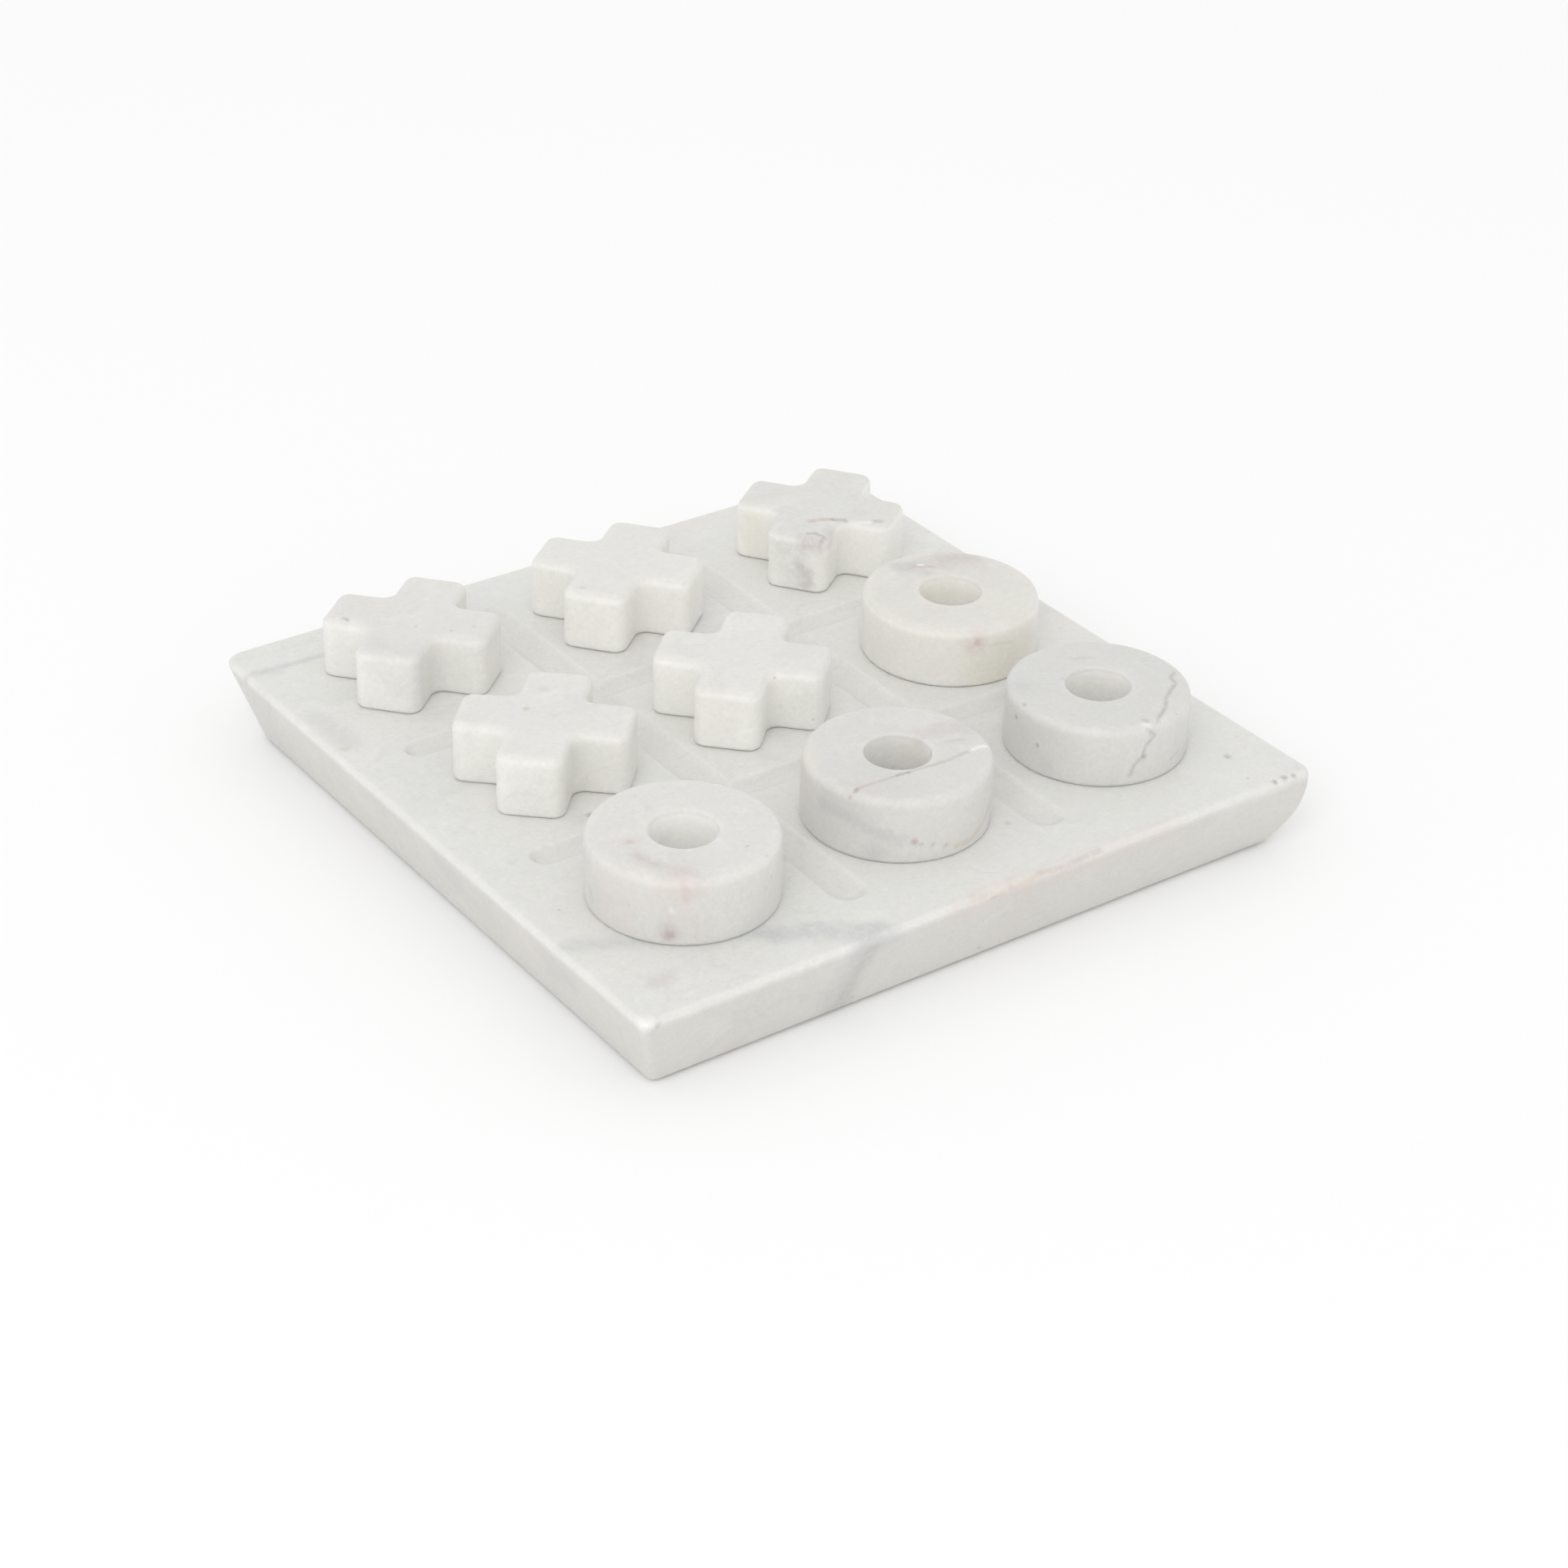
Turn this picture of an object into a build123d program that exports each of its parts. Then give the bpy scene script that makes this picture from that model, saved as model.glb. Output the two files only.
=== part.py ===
from build123d import *
import os
from math import hypot

# Marble tic tac toe set: a square board with a routed grid, five X pieces and four O pieces.
# Millimetres, +Z up. The origin is the middle of the board's footprint, on the plane that the
# pads under the board stand on. +X runs along the front right side of the board, from its front
# corner to its right corner, and +Y along the front left side, from the front to the left corner.

# Board
board_side = 200.0
board_thickness = 21.5
side_undercut = 6.6
board_corner_radius = 3.0
board_top_edge_radius = 1.4
board_foot_edge_radius = 0.6

# Grid of grooves, cut with a round-nosed cutter. The two that run along Y are wider than the two
# that run along X, and those two stand a little off the middle of the board.
grid_spacing = 59.4
grid_shift_y = 1.0
groove_width_along_x = 7.2
groove_width_along_y = 9.4
groove_depth = 1.6
groove_end_margin = 15.8

# Pads under the board
pad_diameter = 12.0
pad_thickness = 1.0
pad_inset = 26.0

# Pieces
o_height = 16.2
x_height = 16.2
piece_top_edge_radius = 1.6
piece_foot_edge_radius = 0.5

o_diameter = 46.2
o_hole_diameter = 16.2
o_hole_edge_radius = 0.7

x_span = 44.0
x_arm_width = 17.0
x_arm_corner_radius = 3.2
x_inner_corner_radius = 3.2

# Where each piece was set down: the column and row of its cell from the front corner and how far
# it stands from the middle of the cell along X and along Y. For an O the last number is how much
# higher than o_height it was cut, and for an X how far it is turned from the board's diagonals,
# in degrees.
o_places = {
    "o_front": (0, 0, 2.75, 4.85, 1.0),
    "o_front_right": (1, 0, 0.0, 5.45, 1.1),
    "o_right": (2, 0, -2.05, 5.85, 0.0),
    "o_back_right": (2, 1, -2.55, -0.1, 0.1),
}
x_places = {
    "x_front_left": (0, 1, 4.85, 3.0, 2.6),
    "x_centre": (1, 1, -1.7, 2.6, -0.7),
    "x_left": (0, 2, 2.95, -0.15, -3.4),
    "x_back_left": (1, 2, -0.7, -2.25, -5.7),
    "x_back": (2, 2, -1.05, -4.45, -8.6),
}

board_bottom = pad_thickness
board_top = board_bottom + board_thickness
grid_lines_x = (-grid_spacing / 2, grid_spacing / 2)
grid_lines_y = (grid_shift_y - grid_spacing / 2, grid_shift_y + grid_spacing / 2)
arm_turn_on_diagonal = 45.0


def board_section(inset, height):
    """One level of the board: a square with rounded corners, inset from the top face's edge."""
    width = board_side - 2 * inset
    return Pos(0, 0, height) * RectangleRounded(width, width, board_corner_radius)


def groove(length, width):
    """The cutter's path for one groove along X, centred, with the board's top at height 0."""
    half_width = width / 2
    cutter_radius = (half_width**2 + groove_depth**2) / (2 * groove_depth)
    rise = cutter_radius - groove_depth
    half_run = length / 2 - half_width
    path = Rot(0, 90, 0) * Cylinder(cutter_radius, 2 * half_run)
    for end in (-half_run, half_run):
        path += Pos(end, 0, 0) * Sphere(cutter_radius)
    return Pos(0, 0, rise) * path


def board():
    """The slab, wider at its top than at its foot, with the two pairs of grooves cut in it."""
    foot = board_section(side_undercut, board_bottom)
    face = board_section(0, board_top)
    slab = loft([foot, face], ruled=True)
    slab = fillet(slab.faces().sort_by(Axis.Z)[-1].edges(), board_top_edge_radius)
    slab = fillet(slab.faces().sort_by(Axis.Z)[0].edges(), board_foot_edge_radius)
    length = board_side - 2 * groove_end_margin
    for line in grid_lines_y:
        slab -= Pos(0, line, board_top) * groove(length, groove_width_along_x)
    for line in grid_lines_x:
        slab -= Pos(line, 0, board_top) * Rot(0, 0, 90) * groove(length, groove_width_along_y)
    return slab


def pad():
    """A thin round pad that keeps the stone off the table, standing on height 0."""
    return Cylinder(pad_diameter / 2, pad_thickness, align=(Align.CENTER, Align.CENTER, Align.MIN))


def o_piece(height):
    """A thick ring with its hole right through, standing on height 0."""
    outer = Cylinder(o_diameter / 2, height, align=(Align.CENTER, Align.CENTER, Align.MIN))
    outer = fillet(outer.edges().group_by(Axis.Z)[-1], piece_top_edge_radius)
    outer = fillet(outer.edges().group_by(Axis.Z)[0], piece_foot_edge_radius)
    hole = Cylinder(o_hole_diameter / 2, height, align=(Align.CENTER, Align.CENTER, Align.MIN))
    ring = outer - hole
    rim = ring.edges().filter_by(GeomType.CIRCLE).filter_by(
        lambda edge: abs(edge.radius - o_hole_diameter / 2) < 0.001
    )
    return fillet(rim.group_by(Axis.Z)[-1], o_hole_edge_radius)


def x_outline():
    """A cross with its arms along X and Y, rounded at the arms' corners and between the arms."""
    cross = Rectangle(x_span, x_arm_width) + Rectangle(x_arm_width, x_span)
    inner_reach = hypot(x_arm_width / 2, x_arm_width / 2)
    inner = [v for v in cross.vertices() if hypot(v.X, v.Y) < inner_reach + 0.001]
    cross = fillet(inner, x_inner_corner_radius)
    outer_reach = hypot(x_span / 2, x_arm_width / 2)
    outer = [v for v in cross.vertices() if hypot(v.X, v.Y) > outer_reach - 0.001]
    return fillet(outer, x_arm_corner_radius)


def x_piece():
    """A thick cross, standing on height 0."""
    cross = extrude(x_outline(), x_height)
    cross = fillet(cross.faces().sort_by(Axis.Z)[-1].edges(), piece_top_edge_radius)
    return fillet(cross.faces().sort_by(Axis.Z)[0].edges(), piece_foot_edge_radius)


def cell_middle(index, grid_lines):
    """The middle of one column or row of cells, counted from the front corner."""
    limits = (-board_side / 2, *grid_lines, board_side / 2)
    return (limits[index] + limits[index + 1]) / 2


def on_board(column, row, shift_x, shift_y, turn=0.0):
    """The place of a piece that stands on the board's top face in one cell."""
    x = cell_middle(column, grid_lines_x) + shift_x
    y = cell_middle(row, grid_lines_y) + shift_y
    return Pos(x, y, board_top) * Rot(0, 0, turn)


def write(node, solid):
    solid.label = node
    export_step(solid, f"parts/{node}.step")


os.makedirs("parts", exist_ok=True)

write("board", board())

pad_reach = board_side / 2 - pad_inset
pad_corners = {"front": (-1, -1), "right": (1, -1), "left": (-1, 1), "back": (1, 1)}
for corner, (side_x, side_y) in pad_corners.items():
    write(f"pad_{corner}", Pos(side_x * pad_reach, side_y * pad_reach, 0) * pad())

for node, (column, row, shift_x, shift_y, extra_height) in o_places.items():
    write(node, on_board(column, row, shift_x, shift_y) * o_piece(o_height + extra_height))

cross = x_piece()
for node, (column, row, shift_x, shift_y, turn) in x_places.items():
    write(node, on_board(column, row, shift_x, shift_y, arm_turn_on_diagonal + turn) * cross)
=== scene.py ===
import math

import bmesh
import bpy
from bpy.props import FloatProperty, FloatVectorProperty, PointerProperty
from mathutils import Matrix, Vector, noise


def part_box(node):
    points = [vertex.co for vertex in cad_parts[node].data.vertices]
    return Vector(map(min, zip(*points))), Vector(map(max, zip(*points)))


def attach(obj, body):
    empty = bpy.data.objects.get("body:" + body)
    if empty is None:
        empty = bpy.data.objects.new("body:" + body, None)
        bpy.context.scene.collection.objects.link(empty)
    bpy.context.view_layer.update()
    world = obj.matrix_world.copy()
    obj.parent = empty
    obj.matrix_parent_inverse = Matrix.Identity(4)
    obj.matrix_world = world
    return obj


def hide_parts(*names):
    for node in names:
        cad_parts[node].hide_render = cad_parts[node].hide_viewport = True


bl_info = {
    "name": "Marble tic tac toe set",
    "version": (1, 0, 0),
    "blender": (4, 5, 0),
    "location": "3D View > Sidebar > Tic tac toe",
    "description": "Makes a marble board with a routed grid, its O and X pieces and a studio round them",
    "category": "Object",
}

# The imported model: where each piece stands and how large it may be.
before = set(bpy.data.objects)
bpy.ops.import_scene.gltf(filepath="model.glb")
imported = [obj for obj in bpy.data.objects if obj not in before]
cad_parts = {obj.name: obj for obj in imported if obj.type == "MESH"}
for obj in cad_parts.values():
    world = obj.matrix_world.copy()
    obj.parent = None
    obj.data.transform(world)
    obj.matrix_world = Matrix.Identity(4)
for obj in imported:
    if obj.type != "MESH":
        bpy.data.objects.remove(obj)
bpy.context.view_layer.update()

# Shapes are made in millimetres and brought to metres when they are finished.
MM = 1000.0
RIGHT_ANGLE = math.pi / 2
# How near a point is to a height or a radius that it lies on.
TOUCHING = 0.01

# Half the board's side before its edges are rounded: the grooves' ends are measured from it.
NOMINAL_HALF_SIDE = 100.0
# Sizes of the board's mesh cells, by the grooves and small marks and away from them.
FINE_CELL = 0.42
COARSE_CELL = 1.45
# How far the board's side swells by the right corner, and up to what share of its height.
SWELL_OUT = 2.6
SWELL_TOP = 0.93
# Painted shade: how much darker the board's sides, and its grooves with a warm dirt tint, are than its
# face: red, green and blue.
BOARD_SIDE_PAINTED_SHADE = (0.12, 0.13, 0.145)
GROOVE_SHADE_AND_DIRT = (0.028, 0.034, 0.042)

# How many steps go round a wide, a middling and a narrow edge.
WIDE_STEPS = 6
MIDDLING_STEPS = 4
NARROW_STEPS = 3
# How often a cut piece is smoothed.
RUBBING_PASSES = 4

# How deep light goes into the board and into the pieces, in millimetres.
BOARD_GLOW = 1.6
PIECE_GLOW = 3.0
# A mark is full inside the first share of its half width, gone at the second, and its edge
# wanders by the third.
MARK_FULL = 0.15
MARK_GONE = 1.6
MARK_WANDER = 0.45

# The stage, in metres: the lamp's width and place, and half the floor's side.
KEY_WIDTH = 3.4
KEY_PLACE = (-2.8, -2.5, 3.25)
FLOOR_REACH = 6.0
# The width of the camera's sensor, in millimetres.
SENSOR_WIDTH = 36.0

O_PIECES = ("o_front", "o_front_right", "o_right", "o_back_right")
# How far each X is turned from lying square to the board's sides, in degrees.
X_TURNS = {
    "x_front_left": 47.6,
    "x_centre": 44.3,
    "x_left": 41.6,
    "x_back_left": 39.3,
    "x_back": 36.4,
}
PADS = ("pad_front", "pad_right", "pad_left", "pad_back")

# Colours of the stone's natural marks, linear. WHITE also paints highlights, and BROWN shade in hollows.
GREY = (0.47, 0.48, 0.50, 1.0)
DARK = (0.10, 0.08, 0.07, 1.0)
RUST = (0.34, 0.17, 0.11, 1.0)
ROSE = (0.52, 0.31, 0.27, 1.0)
BROWN = (0.35, 0.27, 0.20, 1.0)
OCHRE = (0.55, 0.42, 0.24, 1.0)
OLIVE = (0.45, 0.42, 0.28, 1.0)
PINK = (0.71, 0.585, 0.555, 1.0)
CREAM = (0.78, 0.73, 0.58, 1.0)
MAUVE = (0.42, 0.33, 0.36, 1.0)
WHITE = (0.96, 0.95, 0.93, 1.0)

# The natural marks of each piece, and a painted highlight on the board's front corner: the colour,
# half the width, the strength, how deep it is worn into the face, and the places it runs through.
# Millimetres, from the middle of the piece's foot; the board's are from the middle of the set, on the
# plane it stands on.
MARKS = {
    "board": (
        (GREY, 1.2, 0.4, 0, ((-99.8, 86.6, 21), (-89.7, 85.6, 22.5), (-78.1, 85.2, 22.5))),
        (GREY, 1.8, 0.22, 0, ((-96, 86, 22.5), (-91.8, 83.9, 22.5))),
        (GREY, 3.4, 0.26, 0, ((-94.6, 58.4, 22.5), (-93.6, 50, 22.5), (-93.6, 42.4, 22.5))),
        (OLIVE, 1.3, 0.3, 0.03, ((-95.5, 40, 22.5),)),
        (GREY, 2.6, 0.34, 0, (
            (-96.4, -63.9, 22.5), (-89.9, -67.4, 22.5), (-73, -76, 22.5), (-56, -84.7, 22.5),
            (-46.1, -88.4, 22.5), (-33.5, -96.3, 22.5),
        )),
        (GREY, 2.4, 0.32, 0, (
            (-56, -84.7, 22.5), (-54.8, -87.8, 22.5), (-48, -91.1, 22.5), (-38.2, -99.2, 22.2),
        )),
        (GREY, 5.0, 0.36, 0, (
            (-33.6, -99.7, 21.5), (-38.5, -98.7, 18.3), (-41.9, -94.6, 4.8), (-44.2, -93.2, 0.9),
        )),
        (BROWN, 2.2, 0.16, 0, ((-36.5, -99, 19), (-39.9, -95.6, 8), (-41.6, -94.2, 3))),
        (MAUVE, 2.8, 0.22, 0, ((-87.5, -87.2, 22.5), (-85.2, -86.6, 22.5))),
        (BROWN, 0.8, 0.7, 0.15, ((-62.3, -19.0, 22.5),)),
        (BROWN, 2.6, 0.15, 0, ((-65, -20, 22.5),)),
        (BROWN, 0.7, 0.35, 0.05, ((19.9, -77.6, 22.5),)),
        (DARK, 0.9, 0.4, 0.1, ((85.4, -83.1, 22.5),)),
        (DARK, 0.8, 0.45, 0.15, ((87.3, -98.6, 22.3),)),
        (DARK, 0.9, 0.45, 0.18, ((90.5, -98.4, 22.3),)),
        (DARK, 0.8, 0.4, 0.15, ((93.3, -98.6, 22),)),
        (OCHRE, 1.0, 0.28, 0.06, ((-7, -98.8, 22.2), (2, -99.2, 21.2), (12, -99.2, 21.8))),
        (RUST, 0.8, 0.24, 0.05, ((-2, -99.3, 20.6), (1.5, -99.3, 20.2))),
        (BROWN, 0.9, 0.3, 0.08, ((12, -98.8, 22.3), (20, -99.2, 21.8), (31, -98.9, 22.2))),
        (PINK, 3.0, 0.3, 0, ((-12, -99, 20.5), (20, -99, 20), (54, -99, 20))),
        (GREY, 4.5, 0.28, 0, ((-97.5, -8, 14.3), (-97.5, -15, 14))),
        (GREY, 4.5, 0.28, 0, ((-97.4, -58, 13.5), (-97.4, -66, 14.2))),
        (PINK, 3.2, 0.2, 0, ((-97.8, -50.4, 15.5),)),
        # A painted highlight on the front corner, pressed a little into the face.
        (WHITE, 2.6, 0.5, 0.3, ((-98.6, -98.6, 21.8),)),
        (DARK, 0.8, 0.3, 0.15, ((-95.5, -98.9, 20.8),)),
    ),
    "o_front_right": (
        (RUST, 0.55, 0.36, 0.12, ((-21.1, -9.1, 16), (-20.6, -9.8, 17.3), (-18.5, -8.6, 17.3))),
        (ROSE, 0.55, 0.34, 0.07, (
            (-18.5, -8.6, 17.3), (-16.7, -8.4, 17.3), (-14.2, -8.6, 17.3), (-10.9, -8.7, 17.3),
            (-7, -8.9, 17.3),
        )),
        (DARK, 0.6, 0.36, 0.12, ((-6.7, -8.8, 17.3), (-3.7, -9, 17.3))),
        (BROWN, 0.6, 0.32, 0.09, (
            (-3.7, -9, 17.3), (0.1, -9.3, 17.3), (3.3, -9.6, 17.3), (6.5, -9.9, 17.3),
            (10.7, -9.5, 17.3), (15, -9.1, 17.3),
        )),
        (WHITE, 0.7, 0.64, 0.15, (
            (15, -9.1, 17.3), (17, -9, 17.3), (18.7, -9.3, 17.3), (20.6, -10.1, 17.3),
        )),
        (GREY, 0.8, 0.4, 0, ((12.4, -2.9, 17.3), (16.4, -4.1, 17.3))),
        (MAUVE, 3, 0.19, 0, ((10.1, 3.7, 17.3), (16, 2.2, 17.3), (22.1, 0, 17.3))),
        (WHITE, 1, 0.64, 0.18, ((7.9, -1.8, 15.3),)),
        (DARK, 0.6, 0.33, 0.12, ((7.3, -3.6, 15.6),)),
        (GREY, 1.7, 0.32, 0, (
            (-23, -1.5, 11.2), (-21.3, -8.9, 10.8), (-19.7, -12, 9.6), (-18.3, -13.9, 8.8),
            (-15.9, -16.5, 8), (-12.6, -19.2, 6.9),
        )),
        (GREY, 2.6, 0.28, 0, ((-17.4, -15, 2.3),)),
        (RUST, 1.0, 0.42, 0.06, ((-10.2, -20.6, 6),)),
        (DARK, 0.55, 0.33, 0.06, ((-8.6, -21.3, 5.3),)),
        (DARK, 0.55, 0.28, 0.06, ((-5.8, -22.3, 4.7),)),
        (DARK, 0.55, 0.28, 0.06, ((-2.3, -22.9, 3.7),)),
        (OCHRE, 0.8, 0.33, 0, (
            (0.6, -23, 2.5), (5, -22.5, 2.1), (8.7, -21.4, 3.4), (12.6, -19.4, 5.6),
            (14.8, -17.7, 6.7),
        )),
        (CREAM, 3.2, 0.17, 0, ((-17.6, 11.8, 17.3), (-22.3, 6, 17.2), (-22.8, 3.5, 14.2))),
    ),
    "o_right": (
        (GREY, 60, 0.1, 0, ((5, 6.4, 9.8),)),
        (DARK, 0.8, 0.3, 0.18, ((-21.9, 2.4, 16.2),)),
        (DARK, 0.6, 0.41, 0.12, ((-22.7, 4.1, 11.8),)),
        (DARK, 0.6, 0.41, 0.12, ((-22.6, -4.5, 7.9),)),
        (DARK, 0.65, 0.41, 0.12, ((-3.7, -22.8, 7.6),)),
        (DARK, 0.6, 0.33, 0.12, ((0.2, -22.3, 16.2),)),
        (BROWN, 1.1, 0.3, 0.09, ((-2, -20.4, 16.2),)),
        (BROWN, 0.6, 0.27, 0.06, ((-15.3, -8.2, 16.2),)),
        (GREY, 3, 0.24, 0, ((-21.8, -7.3, 3.2),)),
        (GREY, 3.5, 0.2, 0, ((-17.5, 9.6, 16.2),)),
        (DARK, 0.55, 0.25, 0.09, (
            (19.5, -6, 16.2), (16.8, -7.7, 16.2), (16.6, -10.2, 16.2), (12.4, -12.7, 16.2),
            (9.6, -14.6, 16.2), (6.1, -18.2, 16.2), (3.3, -20, 16.2), (1, -21.4, 16.2),
        )),
        (DARK, 0.55, 0.25, 0.09, (
            (-3.7, -22.6, 16.2), (-2.4, -23, 14.2), (-1.1, -23.1, 12.7), (-3.4, -22.8, 10.9),
            (-4.4, -22.6, 7.6), (-6.3, -22.2, 5.9), (-7.3, -21.8, 2.8),
        )),
        (WHITE, 0.9, 0.48, 0.12, ((-3.4, -21.1, 16.2), (-2.7, -22.5, 16.2))),
        (BROWN, 0.5, 0.21, 0, ((9.3, -21.1, 4.5), (5.4, -22.4, 3.6))),
        (GREY, 0.7, 0.24, 0, ((2.6, 13.8, 16.2), (7.5, 11.1, 16.2))),
        (ROSE, 0.9, 0.23, 0, ((-5.6, 6.7, 16.2),)),
    ),
    "o_back_right": (
        (CREAM, 60, 0.16, 0, ((-13.8, -13.9, 16.3),)),
        (MAUVE, 4.2, 0.2, 0, (
            (-1.5, 15.4, 16.3), (5.2, 14.3, 16.3), (13, 12, 16.3), (15.4, 9.9, 16.3),
        )),
        (MAUVE, 2.6, 0.19, 0, ((9, 15.7, 16.3), (14.8, 12.6, 16.3))),
        (GREY, 2.6, 0.21, 0, ((-3.4, 17.1, 16.3), (0.4, 15.8, 16.3))),
        (WHITE, 0.55, 0.72, 0.07, ((1.4, 15.7, 16.3), (2.4, 15.2, 16.3))),
        (ROSE, 0.6, 0.34, 0.05, ((-0.6, 15.9, 16.3), (1.4, 14.9, 16.3), (4.1, 12.8, 16.3))),
        (GREY, 1.2, 0.28, 0, ((0.6, 10.7, 16.3),)),
        (PINK, 3, 0.54, 0, ((-8.2, -21.6, 12.7),)),
        (RUST, 0.9, 0.26, 0.04, ((-8, -21.6, 12.9),)),
        (OCHRE, 0.5, 0.17, 0, ((-6.2, -22.2, 11.9), (-2.1, -23, 11.5), (3.1, -22.8, 10.8))),
        (OCHRE, 7, 0.12, 0, ((-2.9, -22.9, 4.8), (5.4, -22.4, 7.3))),
    ),
    "o_front": (
        (PINK, 2.4, 0.41, 0, ((-13.3, 1.9, 17.2),)),
        (RUST, 1.1, 0.19, 0.03, ((-13.3, 1.9, 17.2),)),
        (MAUVE, 2.2, 0.2, 0, (
            (-15.4, -4.1, 17.2), (-14.6, -7.9, 17.2), (-13, -11, 17.2), (-11.3, -13.8, 17.2),
            (-9.9, -15.1, 17.2),
        )),
        (ROSE, 0.7, 0.17, 0, ((-15.2, -3.1, 17.2), (-15.3, -6.3, 17.2), (-13.3, -10, 17.2))),
        (PINK, 4.5, 0.27, 0, ((-11.3, -15.4, 17.2), (-12.7, -19.2, 15.6))),
        (ROSE, 1.1, 0.2, 0, ((-12.7, -19.2, 16.7), (-12.1, -19.6, 12.4))),
        (BROWN, 0.8, 0.18, 0, ((-22.7, 4.5, 6.8), (-22.8, 3.2, 3.8))),
        (PINK, 5, 0.2, 0, ((-22.9, -3.1, 9.9), (-22.7, -4.1, 6))),
        (PINK, 5.5, 0.25, 0, ((-14.6, -17.8, 14.5), (-13.1, -18.9, 8.4))),
        (MAUVE, 2.8, 0.38, 0, ((-15.2, -17.2, 3.2),)),
        (RUST, 1.2, 0.31, 0.05, ((-15.4, -17.1, 2.8),)),
        (WHITE, 0.8, 0.4, 0.06, ((-14.9, -17.6, 9.7),)),
        (DARK, 0.55, 0.3, 0.06, ((9.7, -19.9, 17.2),)),
        (BROWN, 0.55, 0.3, 0.06, ((0.6, -23, 17.1),)),
    ),
    "x_back": (
        (ROSE, 1, 0.45, 0.06, ((-9, -7.9, 16.2), (-5.8, -8.8, 16.2), (-3.4, -10.3, 16.2))),
        (DARK, 0.7, 0.33, 0.12, ((-3.4, -10.3, 16.2), (-0.8, -12, 16.2), (-0.7, -13.3, 16.2))),
        (WHITE, 0.6, 0.48, 0.06, ((-0.1, -14, 16.1), (4.2, -17, 16.2))),
        (MAUVE, 1, 0.42, 0, ((5.8, -17.4, 16.2), (6.9, -18.2, 16.2))),
        (DARK, 0.65, 0.33, 0.12, (
            (-13.8, -13.4, 16.2), (-12.1, -14.5, 16.2), (-11.2, -17.3, 16.2), (-13.4, -18.8, 15),
        )),
        (WHITE, 0.7, 0.68, 0.12, ((-15.8, -15.5, 16.2),)),
        (WHITE, 0.7, 0.68, 0.12, ((-14.2, -17.1, 16.2),)),
        (WHITE, 0.6, 0.64, 0.06, ((-13.7, -18.5, 15.8),)),
        (WHITE, 0.7, 0.64, 0.06, ((-15.4, -16, 7.5),)),
        (MAUVE, 2.4, 0.42, 0, ((-16, -15.1, 14.9), (-13.8, -18.1, 14.6))),
        (MAUVE, 2.2, 0.38, 0, ((-16.5, -14.7, 7), (-15.6, -15.7, 5.7), (-15.8, -15.7, 2.8))),
        (GREY, 6, 0.2, 0, ((-18.3, -12.1, 11.3), (-17.5, -13.2, 4.2))),
        (CREAM, 6, 0.22, 0, ((-16.9, 8.9, 9.3), (-16.9, 8.7, 4.4))),
        (MAUVE, 2.2, 0.3, 0, ((-6.5, -15.3, 16.2), (-9.8, -17.8, 14.3))),
    ),
    "x_back_left": (
        (GREY, 1.2, 0.4, 0.18, ((8.1, -21.7, 16.2),)),
        (BROWN, 0.8, 0.3, 0.06, ((-16.6, -8.9, 16.2),)),
    ),
    "x_left": (
        (DARK, 0.5, 0.33, 0.06, ((-15.1, 8.1, 16.2), (-14.7, 6.6, 16.2))),
        (BROWN, 0.55, 0.24, 0.03, ((-2.1, -5.8, 16.2),)),
        (BROWN, 0.55, 0.24, 0.03, ((10.2, -13.8, 16.2),)),
        (ROSE, 0.5, 0.38, 0, ((21.1, 7.4, 14.1), (21.5, 7.7, 11.7))),
    ),
    "x_front_left": (
        (OLIVE, 0.9, 0.45, 0.05, ((-2.5, 4.7, 16.2),)),
        (ROSE, 1.6, 0.19, 0, ((6.3, 10.4, 16.2),)),
    ),
    "x_centre": (
        (PINK, 5, 0.11, 0, ((-17.2, -12.4, 16.2),)),
    ),
}

# How light each piece's top is, its own tone, and its sides and the wall of an O's hole, which carry
# painted light and shade.
O_TONE_AND_PAINTED_LIGHT = {
    "o_front": (1.0, 0.97, 1.34),
    "o_front_right": (0.955, 0.955, 1.16),
    "o_right": (0.96, 0.98, 1.26),
    "o_back_right": (1.0, 1.16, 1.34),
}
X_TONE_AND_PAINTED_LIGHT = {
    "x_front_left": (1.0, 1.07),
    "x_centre": (1.0, 1.17),
    "x_left": (0.975, 1.07),
    "x_back_left": (1.0, 1.14),
    "x_back": (0.945, 1.13),
}


def smooth_rise(low, high, value):
    """0 below low, 1 above high, and a smooth ramp between them."""
    share = min(max((value - low) / (high - low), 0.0), 1.0)
    return share * share * (3.0 - 2.0 * share)


def node_box(name):
    """A CAD node's lowest and highest corner, in millimetres."""
    low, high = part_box(name)
    return low * MM, high * MM


def foot_middle(low, high):
    """The middle of a box's lowest face."""
    return Vector(((low.x + high.x) / 2, (low.y + high.y) / 2, low.z))


# ------------------------------
# What a user may change


def mm_property(name, description, default, **limits):
    """A size in millimetres."""
    return FloatProperty(name=name, description=description + ", in mm", default=default, **limits)


class BoardSettings(bpy.types.PropertyGroup):
    side_undercut: mm_property(
        "Side undercut", "How far the foot stands in from the top edge", 6.6, min=0.0)
    edge_radius: mm_property("Top edge radius", "Rounding of the top edge", 1.4, min=0.3)
    foot_radius: mm_property("Foot edge radius", "Rounding of the foot", 0.6, min=0.1)
    grid_spacing: mm_property("Grid spacing", "Distance between two grooves", 59.4)
    grid_shift: mm_property("Grid shift along Y", "The grid's middle from the board's", 1.0)
    width_along_x: mm_property("Groove width along X", "Width of the grooves along X", 7.2, min=1.0)
    width_along_y: mm_property("Groove width along Y", "Width of the grooves along Y", 9.4, min=1.0)
    groove_depth: mm_property("Groove depth", "Depth of a groove", 1.6, min=0.1)
    groove_end_margin: mm_property("Groove end margin", "From a groove's end to the edge", 15.8)
    wear: mm_property("Wear", "How uneven the hand finish left the faces", 0.22)


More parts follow.
